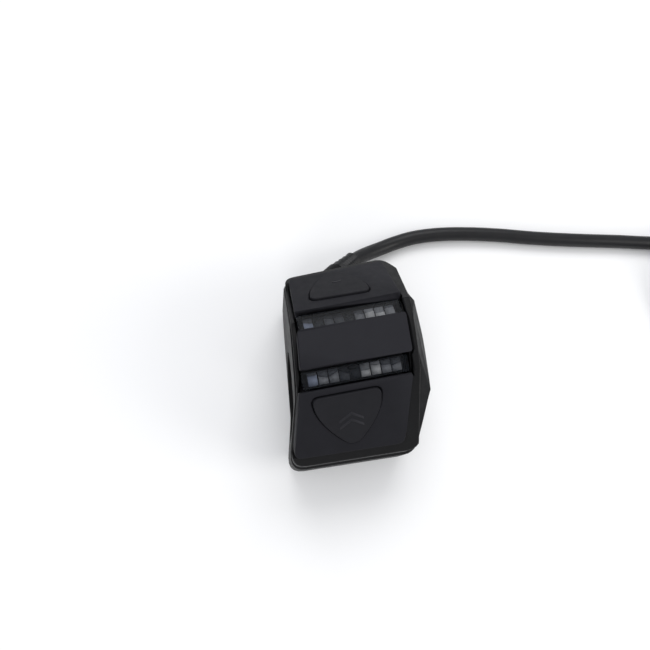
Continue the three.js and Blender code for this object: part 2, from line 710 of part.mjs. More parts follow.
function windowParts(name, strip) {
  const lens = join(
    solid(
      box(
        -WINDOW_HALF,
        WINDOW_HALF,
        -LENS_HALF_WIDTH,
        LENS_HALF_WIDTH,
        -PAD_PROUD - LENS_THICK,
        -PAD_PROUD,
      ),
    ),
    ...[-WINDOW_HALF, WINDOW_HALF - LEG_THICK].map((u) =>
      solid(box(u, u + LEG_THICK, -LEG_HALF_WIDTH, LEG_HALF_WIDTH, -LEG_DEPTH, -PAD_PROUD - 0.2)),
    ),
  );
  add(strip.group, `${name}_window_lens`, geometryOf(lens), LENS);
  const reach = WINDOW_HALF - 1.5;
  const pitch = (2 * reach) / SEGMENTS;
  const teeth = Array.from({ length: SEGMENTS }, (_, i) => {
    const u = -reach + (i + 0.5) * pitch;
    const half = pitch * SEGMENT_FILL;
    return solid(box(u - half, u + half, -COMB_HALF_WIDTH, COMB_HALF_WIDTH, -3.3, -2.5));
  });
  const guide = join(solid(box(-reach, reach, -COMB_HALF_WIDTH, COMB_HALF_WIDTH, -3.7, -3.2)), ...teeth);
  add(strip.group, `${name}_light_guide`, geometryOf(guide), GUIDE);
  add(strip.group, `${name}_light_board`, box(-reach, reach, -1.4, 1.4, -4.6, -3.9), BOARD);
  pod.add(strip.group);
}

windowParts("lower", lowerWindow);
windowParts("upper", upperWindow);

const CHASSIS_HALF = 12.1;
const CHASSIS_Y = [-10.6, 23.6];
const EAR_HALVES = [1, 1.2];
const FOOT_AT = [-7, 7];
const FOOT_HALF = 0.8;

// Chassis: a folded plate under all the strips, with ears for the hinge pins and guides for the key's stems
function chassisBody() {
  const layer = meet(
    cut(
      solid(underRidge(CHASSIS_DEPTH, -CHASSIS_HALF, CHASSIS_HALF)),
      solid(underRidge(CHASSIS_DEPTH + CHASSIS_THICK)),
    ),
    solid(skewed(box(-THROUGH, THROUGH, ...CHASSIS_Y, 8.9, 40))),
  );
  const ears = [
    [lowerFacet, lowerHinge],
    [upperFacet, upperHinge],
  ].flatMap(([strip, hinge]) =>
    EAR_AT.map((u) => {
      const [halfLong, halfWide] = EAR_HALVES;
      const [bottom, top] = [-CHASSIS_DEPTH - 0.5, -HINGE_DEPTH + 1.0];
      const ear = box(u - halfLong, u + halfLong, hinge - halfWide, hinge + halfWide, bottom, top);
      return solid(ear.applyMatrix4(strip.matrix));
    }),
  );
  const pins = [
    [lowerFacet, lowerHinge],
    [upperFacet, upperHinge],
  ].map(([strip, hinge]) =>
    solid(rodX(PIN_RADIUS + 0.06, -12.7, 12.7, hinge, -HINGE_DEPTH, 20).applyMatrix4(strip.matrix)),
  );
  const guides = STEM_AT.map((u) =>
    solid(rodZ(STEM_RADIUS + 0.15, u, 0, -BELOW, 0, 20).applyMatrix4(middleFacet.matrix)),
  );
  const feet = FOOT_AT.map((x) => solid(box(x - FOOT_HALF, x + FOOT_HALF, 2.5, 11.5, 10, 20.6)));
  const saddleRoom = solid(rodX(SADDLE_RADIUS + GAP, -THROUGH, THROUGH));
  return cut(join(layer, ...ears, ...feet), ...pins, ...guides, saddleRoom);
}

add(pod, "inner_chassis", geometryOf(chassisBody()), SWITCH);

// Electronics in the forward part of the clamp halves
const BOARD_PLAN = [
  [-11.8, 21.2],
  [12, 21.2],
  [12, 31.0],
  [-11.8, 27.8],
];
const BOARD_Z = [1.6, 2.6];
const ON_BOARD = BOARD_Z[1] + 0.15;
add(pod, "controller_board", slab(roundedShape(BOARD_PLAN, 1), ...BOARD_Z, 3), BOARD);
add(pod, "controller_chip", box(-8.5, -2.5, 21.9, 26.9, ON_BOARD, ON_BOARD + 1.1), SWITCH);
const header = cut(
  solid(box(1.5, 10.5, 22.2, 26.4, ON_BOARD, 6.6)),
  solid(box(2.3, 9.7, 23.0, 25.6, 3.6, BELOW)),
);
add(pod, "wire_header", geometryOf(header), PLUNGER);

// Lead, its strain relief, its coil and its connector
const relief = turned(
  [
    [LEAD_RADIUS + GAP, 0.3],
    [3.4, 0.3],
    [3.4, 1.8],
    [3.0, 2.1],
    [3.2, 3.4],
    [2.85, 3.7],
    [3.05, 5.0],
    [2.75, 5.3],
    [2.9, 7.2],
    [LEAD_RADIUS + GAP, 7.2],
    [LEAD_RADIUS + GAP, 0.3],
  ],
  EXIT,
  EXIT_WAY,
);
add(pod, "strain_relief", relief, RUBBER);

const LEAD_Z = BASE_Z + LEAD_RADIUS + 0.08; // the lead's axis where it lies on the surface
const LEAD_ROUTE = [
  [-3.17, 30.96, -4.45],
  [2.75, 36.1, -6.05],
  [8.25, 40.85, -7.54],
  [10.9, 42.75, -8.6],
  [14.2, 44.6, -10.1],
  [18.2, 46.4, -11.3],
  [23.5, 48.4, LEAD_Z],
  [30.0, 49.95, LEAD_Z],
  [38.0, 50.6, LEAD_Z],
  [47.0, 50.35, LEAD_Z],
  [58.0, 49.3, LEAD_Z],
  [70.0, 47.6, LEAD_Z],
  [84.0, 46.1, LEAD_Z],
  [98.0, 44.9, LEAD_Z],
  [110.0, 43.7, LEAD_Z],
  [117.4, 43.4, LEAD_Z],
];
const COIL_CENTRE = [134, 19.4];
const COIL_RADIUS = 24;
const COIL_HEIGHT = 4 * LEAD_RADIUS + 0.2;
const PLUG_START = new THREE.Vector3(162.7, 6, -9.25);
const PLUG_WAY = new THREE.Vector3(0, -1, 0);
const TAIL_ROUTE = [
  [162.1, 15.4, -9.15],
  [162.45, 12.2, -9.2],
  [162.65, 9.1, -9.25],
  [162.7, 4.5, -9.25],
];

function leadAlong(route, steps) {
  const extrudePath = new THREE.CatmullRomCurve3(route.map((p) => new THREE.Vector3(...p)));
  return new THREE.ExtrudeGeometry(ringShape(LEAD_RADIUS, 10), { extrudePath, steps, bevelEnabled: false });
}

const coil = new THREE.LatheGeometry(
  [
    [COIL_RADIUS - LEAD_RADIUS, 0],
    [COIL_RADIUS + LEAD_RADIUS, 0],
    [COIL_RADIUS + LEAD_RADIUS, COIL_HEIGHT],
    [COIL_RADIUS - LEAD_RADIUS, COIL_HEIGHT],
    [COIL_RADIUS - LEAD_RADIUS, 0],
  ].map(([r, z]) => new THREE.Vector2(r, z)),
  64,
);
coil.rotateX(Math.PI / 2).translate(COIL_CENTRE[0], COIL_CENTRE[1], BASE_Z);

add(pod, "signal_lead", leadAlong(LEAD_ROUTE, 46), RUBBER);
add(pod, "lead_coil", coil, RUBBER);
add(pod, "lead_tail", leadAlong(TAIL_ROUTE, 8), RUBBER);

const plugPiece = (profile) => turned(profile, PLUG_START, PLUG_WAY);
add(
  pod,
  "connector_boot",
  plugPiece([
    [LEAD_RADIUS + GAP, 0],
    [2.8, 0],
    [3.0, 2.4],
    [2.75, 2.7],
    [3.4, 5.4],
    [3.1, 5.7],
    [3.9, 8.4],
    [0, 8.4],
    [0, 2.2],
    [LEAD_RADIUS + GAP, 2.2],
    [LEAD_RADIUS + GAP, 0],
  ]),
  RUBBER,
);
add(
  pod,
  "connector_body",
  plugPiece([
    [0, 8.7],
    [4.2, 8.7],
    [4.5, 9.1],
    [4.5, 13.4],
    [3.6, 13.7],
    [3.6, 26.2],
    [3.0, 26.2],
    [3.0, 20.4],
    [0, 20.4],
  ]),
  SHELL,
);
add(
  pod,
  "connector_ring",
  plugPiece([
    [3.9, 14.0],
    [4.6, 14.0],
    [4.9, 14.5],
    [4.9, 20.6],
    [4.6, 21.1],
    [3.9, 21.1],
    [3.9, 14.0],
  ]),
  SHELL,
);

export default pod;
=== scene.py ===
"""Handlebar thumb control pod: its looks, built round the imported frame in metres.

Values whose names end in _MM are millimetres.
"""
import math

import bmesh
import bpy
from mathutils import Matrix, Vector
from mathutils.bvhtree import BVHTree


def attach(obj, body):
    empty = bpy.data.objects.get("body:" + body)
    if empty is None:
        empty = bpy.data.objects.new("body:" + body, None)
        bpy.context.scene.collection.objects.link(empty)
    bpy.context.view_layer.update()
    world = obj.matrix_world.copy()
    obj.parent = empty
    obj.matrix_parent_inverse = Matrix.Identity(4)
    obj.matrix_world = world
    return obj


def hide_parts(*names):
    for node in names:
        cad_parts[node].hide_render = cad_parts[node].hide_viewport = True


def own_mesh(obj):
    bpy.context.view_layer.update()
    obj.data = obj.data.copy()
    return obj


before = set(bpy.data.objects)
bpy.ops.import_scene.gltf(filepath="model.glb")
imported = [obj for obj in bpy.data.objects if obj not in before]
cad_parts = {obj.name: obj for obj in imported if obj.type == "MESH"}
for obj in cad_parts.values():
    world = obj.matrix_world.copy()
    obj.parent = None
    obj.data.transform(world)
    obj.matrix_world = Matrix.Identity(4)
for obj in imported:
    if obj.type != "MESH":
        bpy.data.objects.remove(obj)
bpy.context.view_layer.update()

MM = 0.001
scene = bpy.context.scene
scene.view_settings.view_transform = "Standard"

# Geometry shared with the part
SKEW = 0.107
RIDGE_MM = [(-16.2, 12.0), (-2.4, 26.45), (2.25, 27.6), (11.75, 27.6), (16.4, 26.45), (30.6, 12.0)]
BASE_MM = -14.2
LEAD_RADIUS_MM = 2.2
LEAD_LOW_MM = BASE_MM + LEAD_RADIUS_MM + 0.08


# Camera, at the photograph's viewing angle
CAMERA_AT_MM = (-20.26, -23.89, 146.06)
CAMERA_FORWARD = (0.1132, 0.2815, -0.9529)
CAMERA_UP = (0.0664, 0.9547, 0.2899)
FOCAL_MM, SENSOR_MM = 30.57, 36


def make_camera():
    data = bpy.data.cameras.new("camera")
    data.lens = FOCAL_MM
    data.sensor_width = SENSOR_MM
    data.clip_start = 0.01
    data.clip_end = 20
    camera = bpy.data.objects.new("camera", data)
    scene.collection.objects.link(camera)
    back = -Vector(CAMERA_FORWARD).normalized()
    right = Vector(CAMERA_UP).cross(back).normalized()
    turn = Matrix((right, back.cross(right), back)).transposed()
    camera.matrix_world = Matrix.Translation(Vector(CAMERA_AT_MM) * MM) @ turn.to_4x4()
    scene.camera = camera


make_camera()


# Small helpers
def srgb(value):
    """A colour as hexadecimal sRGB, turned to linear."""
    parts = [int(value[i : i + 2], 16) / 255 for i in (0, 2, 4)]
    return [c / 12.92 if c <= 0.04045 else ((c + 0.055) / 1.055) ** 2.4 for c in parts]


def catmull(points, steps):
    """A smooth run of points through the given ones."""
    padded = [2 * points[0] - points[1], *points, 2 * points[-1] - points[-2]]
    made = []
    for i in range(1, len(padded) - 2):
        a, b, c, d = padded[i - 1 : i + 3]
        square = 2 * a - 5 * b + 4 * c - d
        cube = 3 * b - a - 3 * c + d
        for step in range(steps):
            t = step / steps
            made.append(0.5 * (2 * b + (c - a) * t + square * t * t + cube * t**3))
    made.append(points[-1].copy())
    return made


def smoothstep(t):
    """A share from 0 to 1 that starts and ends gently."""
    t = min(max(t, 0.0), 1.0)
    return t * t * (3 - 2 * t)


# Materials, with texture scales in features per metre
CLOUDS, SMEARS, STREAKS, TRACKS = 170, 420, 1500, 900
GRAIN_DEPTH_MM, STREAK_DEPTH_MM = 0.03, 0.02
TRACK_FROM, TRACK_TO = 0.42, 0.46  # distance from a cell's middle, where the mask changes to copper
PITS_PER_GRAIN = 0.7
PIT_SHARE = 0.6  # of the grain's strength
# Lighter outside corners: rubbed wear, together with a painted highlight along the edges
WEAR_AND_HIGHLIGHT_SHARE = 0.7  # the most that the rubbed colour, which also paints a highlight on the edges, takes over
DULL = 0.82  # a streak's colour, as a share of the metal's
WEAR_HIGHLIGHT_FROM, WEAR_HIGHLIGHT_TO = 0.515, 0.60  # pointiness, where 0.5 is flat


class Nodes:
    """A material's node tree, with short calls for the nodes used here."""

    def __init__(self, name):
        self.material = bpy.data.materials.new(name)
        self.material.use_nodes = True
        self.tree = self.material.node_tree
        self.shader = self.tree.nodes["Principled BSDF"]
        self.place = self.tree.nodes.new("ShaderNodeTexCoord").outputs["Object"]

    def link(self, source, target):
        self.tree.links.new(source, target)

    def noise(self, scale, detail=3.0, rough=0.55, squash=None):
        """Cloudy noise, with scale as its features per metre."""
        node = self.tree.nodes.new("ShaderNodeTexNoise")
        node.inputs["Scale"].default_value = scale
        node.inputs["Detail"].default_value = detail
        node.inputs["Roughness"].default_value = rough
        self.link(self.stretched(squash), node.inputs["Vector"])
        return node.outputs["Fac"]

    def cells(self, scale, squash=None):
        """Rounded cells, with scale as their number per metre."""
        node = self.tree.nodes.new("ShaderNodeTexVoronoi")
        node.feature = "SMOOTH_F1"
        node.inputs["Scale"].default_value = scale
        node.inputs["Smoothness"].default_value = 0.6
        self.link(self.stretched(squash), node.inputs["Vector"])
        return node.outputs["Distance"]

    def stretched(self, squash):
        """The place on the object, scaled along each axis."""
        if squash is None:
            return self.place
        node = self.tree.nodes.new("ShaderNodeMapping")
        node.inputs["Scale"].default_value = squash
        self.link(self.place, node.inputs["Vector"])
        return node.outputs["Vector"]

    def ramp(self, source, low, high, low_value, high_value):
        """A straight map of one range to another, held at its ends."""
        node = self.tree.nodes.new("ShaderNodeMapRange")
        node.inputs["From Min"].default_value = low
        node.inputs["From Max"].default_value = high
        node.inputs["To Min"].default_value = low_value
        node.inputs["To Max"].default_value = high_value
        self.link(source, node.inputs["Value"])
        return node.outputs["Result"]

    def spread(self, noise, low_value, high_value):
        """A noise's usual range, stretched to run between two values."""
        return self.ramp(noise, 0.3, 0.7, low_value, high_value)

    def blend(self, factor, first, second):
        """A mix of two colours, each one given as numbers or as another node's output."""
        node = self.tree.nodes.new("ShaderNodeMix")
        node.data_type = "RGBA"
        self.link(factor, node.inputs["Factor"])
        for value, socket in ((first, node.inputs["A"]), (second, node.inputs["B"])):
            if isinstance(value, (list, tuple)):
                socket.default_value = (*value[:3], 1)
            else:
                self.link(value, socket)
        return next(o for o in node.outputs if o.type == "RGBA")

    def bump(self, height, strength, distance, below=None):
        node = self.tree.nodes.new("ShaderNodeBump")
        node.inputs["Strength"].default_value = strength
        node.inputs["Distance"].default_value = distance
        self.link(height, node.inputs["Height"])
        if below is not None:
            self.link(below, node.inputs["Normal"])
        return node.outputs["Normal"]

    def worn_and_highlit_edges(self, colour, wear_and_highlight, strength):
        """Lightens outside corners a little: rubbed wear where hands touch the surface, together with a
        painted highlight along the edges.
        """
        geometry = self.tree.nodes.new("ShaderNodeNewGeometry")
        edge = self.ramp(geometry.outputs["Pointiness"], WEAR_HIGHLIGHT_FROM, WEAR_HIGHLIGHT_TO, 0.0, strength)
        return self.blend(edge, colour, wear_and_highlight)


def plastic(
    name, colour, rough, grain_mm=0.22, grain=0.25, mottle=0.18, rough_spread=0.07, wear_and_highlight=None,
    specular=0.5, alpha=1.0,
):
    """Moulded plastic or rubber: fine spark texture, uneven shade and gloss, rubbed edges that also carry a
    painted highlight.
    """
    nodes = Nodes(name)
    dark = [c * (1 - mottle) for c in colour]
    light = [c * (1 + mottle) for c in colour]
    tone = nodes.blend(nodes.spread(nodes.noise(CLOUDS, 4, 0.6), 0, 1), dark, light)
    if wear_and_highlight:
        tone = nodes.worn_and_highlit_edges(tone, wear_and_highlight, WEAR_AND_HIGHLIGHT_SHARE)
    nodes.link(tone, nodes.shader.inputs["Base Color"])
    gloss = nodes.spread(nodes.noise(SMEARS, 5, 0.65), rough - rough_spread, rough + rough_spread)
    nodes.link(gloss, nodes.shader.inputs["Roughness"])
    fine = nodes.noise(1000 / grain_mm, 2, 0.6)
    pits = nodes.cells(PITS_PER_GRAIN * 1000 / grain_mm)
    below = nodes.bump(pits, PIT_SHARE * grain, GRAIN_DEPTH_MM * MM)
    nodes.link(nodes.bump(fine, grain, GRAIN_DEPTH_MM * MM, below), nodes.shader.inputs["Normal"])
    nodes.shader.inputs["Specular IOR Level"].default_value = specular
    nodes.shader.inputs["Alpha"].default_value = alpha
    return nodes.material


def metal(name, colour, rough, squash=(1, 1, 1)):
    """Drawn, turned or ground metal: fine streaks in its gloss."""
    nodes = Nodes(name)
    streak = nodes.noise(STREAKS, 4, 0.7, squash)
    dull = [c * DULL for c in colour]
    nodes.link(nodes.blend(nodes.spread(streak, 0, 1), dull, colour), nodes.shader.inputs["Base Color"])
    nodes.link(nodes.spread(streak, rough - 0.08, rough + 0.1), nodes.shader.inputs["Roughness"])
    nodes.link(nodes.bump(streak, 0.12, STREAK_DEPTH_MM * MM), nodes.shader.inputs["Normal"])
    nodes.shader.inputs["Metallic"].default_value = 1
    return nodes.material


def circuit_board(name, mask, track):
    """Solder mask with copper tracks showing faintly through it."""
    nodes = Nodes(name)
    tracks = nodes.cells(TRACKS, (1, 0.35, 1))
    copper = nodes.ramp(tracks, TRACK_FROM, TRACK_TO, 0, 1)
    nodes.link(nodes.blend(copper, mask, track), nodes.shader.inputs["Base Color"])
    nodes.link(nodes.spread(nodes.noise(TRACKS), 0.28, 0.42), nodes.shader.inputs["Roughness"])
    nodes.link(nodes.bump(tracks, 0.1, GRAIN_DEPTH_MM * MM), nodes.shader.inputs["Normal"])
    return nodes.material


# The lighter edge colours below are rubbed wear together with a painted highlight along the edges
SHELL = plastic(
    "shell_plastic", srgb("0b0b0c"), 0.5, grain_mm=0.24, grain=0.3, wear_and_highlight=srgb("161618"), specular=0.13,
)
PAD = plastic(
    "pad_soft_touch", srgb("1b1b1f"), 0.62, grain_mm=0.16, grain=0.2, mottle=0.1, rough_spread=0.05,
    wear_and_highlight=srgb("27272b"), specular=0.08,
)
INLAY = plastic(
    "inlay_rubber", srgb("1b1b1e"), 0.66, grain_mm=0.14, grain=0.22, mottle=0.1, rough_spread=0.05,
    wear_and_highlight=srgb("2c2c31"), specular=0.1,
)
MARK = plastic(
    "mark_rubber", srgb("18181b"), 0.5, grain_mm=0.14, grain=0.12, mottle=0.1, rough_spread=0.05,
    wear_and_highlight=srgb("2c2c31"), specular=0.14,
)
LINER = plastic("liner_rubber", srgb("151515"), 0.8, grain_mm=0.2, grain=0.35, mottle=0.2, specular=0.25)
SHEATH = plastic(
    "sheath", srgb("121214"), 0.42, grain_mm=0.5, grain=0.14, mottle=0.15, rough_spread=0.08, specular=0.3,
)
SWITCH = plastic("switch_plastic", srgb("1a1a1d"), 0.55, grain_mm=0.2, grain=0.2, specular=0.3)
PLUNGER = plastic("plunger_plastic", srgb("c4bfb2"), 0.45, grain_mm=0.2, grain=0.12, mottle=0.05)
LENS = plastic(
    "smoked_lens", srgb("1a1d22"), 0.3, grain_mm=6.0, grain=0.02, mottle=0.1, rough_spread=0.01, specular=0.2,
    alpha=0.28,
)
STEEL = metal("screw_steel", srgb("a6a8ab"), 0.3, (1, 1, 0.15))
PIN_STEEL = metal("pin_steel", srgb("5c5e61"), 0.36, (0.1, 1, 1))
SPRING_STEEL = metal("spring_steel", srgb("a2a4a8"), 0.3)
BRASS = metal("insert_brass", srgb("c9a45c"), 0.34, (1, 1, 0.2))
BOARD = circuit_board("board_mask", srgb("0d3b29"), srgb("1b5a3c"))
LIGHT_BOARD = circuit_board("light_board_mask", srgb("0b0c0e"), srgb("15171a"))
CELL_SHADES = {
    "base": "14161a", "dark": "2b2e34", "dim": "5c5f66", "mid": "9a9da3", "pale": "dcdee1", "blue": "9fa9c0",
}
CELLS = {
    shade: plastic(
        f"light_cell_{shade}", srgb(colour), 0.5, grain_mm=6.0, grain=0.04, mottle=0.35, rough_spread=0.02,
        specular=0.2,
    )
    for shade, colour in CELL_SHADES.items()
}


# Pieces
def new_piece(name, bm, materials, body, replaces=()):
    """A finished mesh as a named piece, riding on its body."""
    mesh = bpy.data.meshes.new(name)
    bmesh.ops.recalc_face_normals(bm, faces=bm.faces)
    bm.to_mesh(mesh)
    bm.free()
    for material in materials if isinstance(materials, list) else [materials]:
        mesh.materials.append(material)
    piece = bpy.data.objects.new(name, mesh)
    scene.collection.objects.link(piece)
    mesh.shade_smooth()
    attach(piece, body)
    if replaces:
        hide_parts(*replaces)
    return piece


def with_modifiers(piece):
    """Turns a piece's modifiers into its own mesh."""
    graph = bpy.context.evaluated_depsgraph_get()
    mesh = bpy.data.meshes.new_from_object(piece.evaluated_get(graph))
    piece.modifiers.clear()
    piece.data = mesh
    return piece


ROUNDING_PASSES = 12
MERGE_MM = 0.02
FLAT_ANGLE = math.radians(1)
SLIVER = 1e-12  # square metres, below which a face's direction is uncertain
FOLDED = -0.3  # the cosine beyond which a face points the wrong way
STRAY = 0.55  # how far rounding may move a point, as a share of its width
REACH = 1.5  # how far round a fault the edges are left sharp, in widths


def folds(bm, surface, width):
    """Places where rounding has left the CAD surface or turned inside out, with how far each one reaches."""
    made = []
    for face in bm.faces:
        centre = face.calc_center_median()
        _, normal, _, _ = surface.find_nearest(centre)
        if face.calc_area() > SLIVER and normal.dot(face.normal) < FOLDED:
            made.append((centre, REACH * width))
    for vert in bm.verts:
        _, _, _, distance = surface.find_nearest(vert.co)
        if distance > STRAY * width:
            made.append((vert.co.copy(), distance + REACH * width))
    return made


def near_any(edge, places):
    """Whether an edge passes within reach of any of the places."""
    start, end = (v.co for v in edge.verts)
    along = end - start
    for place, reach in places:
        t = min(max((place - start).dot(along) / along.length_squared, 0), 1)
        if (start + along * t - place).length < reach:
            return True
    return False


def rounded(node, name, width_mm, material, body="housing", angle=24, segments=3):
    """A CAD node's shape with its edges rounded over, standing for that node.

    Where an edge is too cramped to round, it stays as the CAD node has it.
    """
    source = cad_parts[node].data
    surface = BVHTree.FromPolygons([v.co for v in source.vertices], [p.vertices for p in source.polygons])
    width = width_mm * MM
    cramped = []
    for attempt in range(ROUNDING_PASSES):
        bm = bmesh.new()
        bm.from_mesh(source)
        bmesh.ops.remove_doubles(bm, verts=bm.verts, dist=MERGE_MM * MM)
        bmesh.ops.dissolve_degenerate(bm, edges=bm.edges, dist=MERGE_MM * MM)
        bmesh.ops.dissolve_limit(bm, angle_limit=FLAT_ANGLE, verts=bm.verts, edges=bm.edges)
        sharp = [e for e in bm.edges if len(e.link_faces) == 2 and e.calc_face_angle() >= math.radians(angle)]
        bmesh.ops.bevel(
            bm, geom=[e for e in sharp if not near_any(e, cramped)], offset=width, offset_type="OFFSET",
            segments=segments, profile=0.5, affect="EDGES", clamp_overlap=False, miter_outer="ARC",
            miter_inner="SHARP", spread=0.1 * width,
        )
        bm.normal_update()
        found = folds(bm, surface, width)
        if not found or attempt == ROUNDING_PASSES - 1:
            break
        cramped += found
        bm.free()
    piece = new_piece(name, bm, material, body, [node])
    weighted = piece.modifiers.new("normals", "WEIGHTED_NORMAL")
    weighted.keep_sharp = False
    weighted.weight = 80
    return with_modifiers(piece)


def facet(index):
    """The frame of one flat strip of the ridge: along the bar, forward, and out of the strip."""
    (y0, z0), (y1, z1) = RIDGE_MM[index], RIDGE_MM[index + 1]
    along = Vector((1, SKEW, 0)).normalized()
    out = along.cross(Vector((0, y1 - y0, z1 - z0)).normalized()).normalized()
    forward = out.cross(along)
    turn = Matrix((along, forward, out)).transposed().to_4x4()
    return Matrix.Translation(Vector((0, (y0 + y1) / 2, (z0 + z1) / 2)) * MM) @ turn @ Matrix.Scale(MM, 4)


def prism(bm, corners, low, high, material=0):
    """Adds a straight-sided block over an outline, whose corners run anticlockwise."""
    bottom = [bm.verts.new((u, v, low)) for u, v in corners]
    top = [bm.verts.new((u, v, high)) for u, v in corners]
    faces = [bm.faces.new(bottom[::-1]), bm.faces.new(top)]
    for i, corner in enumerate(bottom):
        j = (i + 1) % len(bottom)
        faces.append(bm.faces.new((corner, bottom[j], top[j], top[i])))
    for face in faces:
        face.material_index = material


def soften(bm, width, segments=2):
    """Rounds over every edge that turns by more than 20 degrees, as far as its neighbours leave room."""
    sharp = [e for e in bm.edges if len(e.link_faces) == 2 and e.calc_face_angle() > math.radians(20)]
    bmesh.ops.bevel(
        bm, geom=sharp, offset=width, offset_type="OFFSET", segments=segments, profile=0.5,
        affect="EDGES", clamp_overlap=True,
    )


# Light segments under a window: each has a near part in its own colour and a lower far part painted one
# colour darker, as painted shade from the pad above
SEGMENTS = 9
COMB_HALF_MM = 11.05
COMB_HALF_WIDTH_MM = 1.5
SEGMENT_FILL = 0.43  # half of a segment's width, as a share of the pitch
BASE_LEVELS_MM = (-3.7, -3.2)
NEAR_TOP_MM, FAR_TOP_MM = -2.5, -2.7
SEGMENT_SHADES = {
    "lower": ("blue", "mid", "mid", "dim", "dark", "pale", "pale", "mid", "mid"),
    "upper": ("blue", "dark", "dim", "dim", "dark", "mid", "pale", "pale", "mid"),
}
# each colour's darker neighbour, painted on a segment's far part as the shade cast by the pad above
FAR_PAINTED_SHADE = {"blue": "dim", "pale": "mid", "mid": "dim", "dim": "dark", "dark": "base"}
SPLIT_MM, SPLIT_SWING_MM = 0.35, 0.55
LEFT_BEAT, RIGHT_BEAT = 2.1, 2.9  # radians from one segment to the next
CELL_SOFTNESS_MM = 0.07


def split(turn):
    """How far across the window a segment's near part ends and its painted shade begins, which varies along
    it.
    """
    return SPLIT_MM + SPLIT_SWING_MM * math.sin(turn)


def make_light_segments(side, strip):
    """A window's base strip and its segments, as one piece with a material for each shade."""
    shades = list(CELLS)
    bm = bmesh.new()
    reach, half = COMB_HALF_MM, COMB_HALF_WIDTH_MM
    prism(bm, [(-reach, -half), (reach, -half), (reach, half), (-reach, half)], *BASE_LEVELS_MM)
    pitch = 2 * reach / SEGMENTS
    for i, shade in enumerate(SEGMENT_SHADES[side]):
        middle = -reach + (i + 0.5) * pitch
        left, right = middle - SEGMENT_FILL * pitch, middle + SEGMENT_FILL * pitch
        split_left, split_right = split(LEFT_BEAT * i + strip), split(RIGHT_BEAT * i + 1 + strip)
        low = BASE_LEVELS_MM[1]
        near = [(left, -half), (right, -half), (right, split_right), (left, split_left)]
        far = [(left, split_left), (right, split_right), (right, half), (left, half)]
        prism(bm, near, low, NEAR_TOP_MM, shades.index(shade))
        # the far part takes the darker colour: painted shade from the pad above
        prism(bm, far, low, FAR_TOP_MM, shades.index(FAR_PAINTED_SHADE[shade]))
    soften(bm, CELL_SOFTNESS_MM)
    bm.transform(facet(strip))
    guide = f"{side}_light_guide"
    new_piece(f"{side}_light_segments", bm, list(CELLS.values()), "housing", [guide])


# Marks on the shields: a plain double chevron below, a short bar above
CHEVRON_MM = {"half_width": 2.9, "rise": 2.0, "stroke": 0.75, "pitch": 1.9}
CHEVRON_AT_MM = (-1.3, 1.8)
BAR_MARK_MM = [(-2.2, 1.5), (0.2, 1.7), (0.2, 2.05), (-2.2, 1.85)]
MARK_MERGE_MM = 0.001
MARK_LEVELS_MM = (0.3, 0.48)
CHEVRON_SOFTNESS_MM, BAR_SOFTNESS_MM = 0.09, 0.07


def chevron(bm, u, v):
    """Adds one chevron, as two arms that meet at its point."""
    half, rise, stroke = CHEVRON_MM["half_width"], CHEVRON_MM["rise"], CHEVRON_MM["stroke"]
    for side in (1, -1):
        arm = [(u, v), (u + side * half, v - rise), (u + side * half, v - rise + stroke), (u, v + stroke)]
        prism(bm, arm if side > 0 else arm[::-1], *MARK_LEVELS_MM)


def make_marks():
    """Both marks, with the faces that two arms of a chevron share taken out."""
    bm = bmesh.new()
    u, v = CHEVRON_AT_MM
    for step in range(2):
        chevron(bm, u, v - step * CHEVRON_MM["pitch"])
    bmesh.ops.remove_doubles(bm, verts=bm.verts, dist=MARK_MERGE_MM)
    inner = [f for f in bm.faces if all(abs(vert.co.x - u) < MARK_MERGE_MM for vert in f.verts)]
    bmesh.ops.delete(bm, geom=inner, context="FACES_ONLY")
    soften(bm, CHEVRON_SOFTNESS_MM)
    bm.transform(facet(0))
    new_piece("lower_chevrons", bm, MARK, "lower_paddle")
    bm = bmesh.new()
    prism(bm, BAR_MARK_MM, *MARK_LEVELS_MM)
    soften(bm, BAR_SOFTNESS_MM)
    bm.transform(facet(4))
    new_piece("upper_bar_mark", bm, MARK, "upper_paddle")


# Ribbed rubber liners in the bar's bore
LINER_INNER_MM, LINER_OUTER_MM = 11.15, 11.7
LINER_ENDS_MM = (-13.0, 19.0)
LINER_RIB_PITCH_MM = 1.6
LINER_RIB_DEPTH_MM = 0.25
LINER_RIB_FLANK_MM, LINER_RIB_TOP_MM = 0.35, 0.7
LINER_SPLIT_MM = 0.4
LINER_STEPS = 36


def liner_profile():
    """The liner's section along the bar, as (x, radius) pairs: ribs inside, plain outside."""
    start, end = LINER_ENDS_MM
    ribs = round((end - start) / LINER_RIB_PITCH_MM)
    valley = LINER_INNER_MM + LINER_RIB_DEPTH_MM
    profile = []
    for i in range(ribs):
        x = start + i * LINER_RIB_PITCH_MM
        top_start, top_end = x + LINER_RIB_FLANK_MM, x + LINER_RIB_FLANK_MM + LINER_RIB_TOP_MM
        profile += [(x, valley), (top_start, LINER_INNER_MM), (top_end, LINER_INNER_MM)]
        profile.append((top_end + LINER_RIB_FLANK_MM, valley))
    return [*profile, (end, valley), (end, LINER_OUTER_MM), (start, LINER_OUTER_MM)]


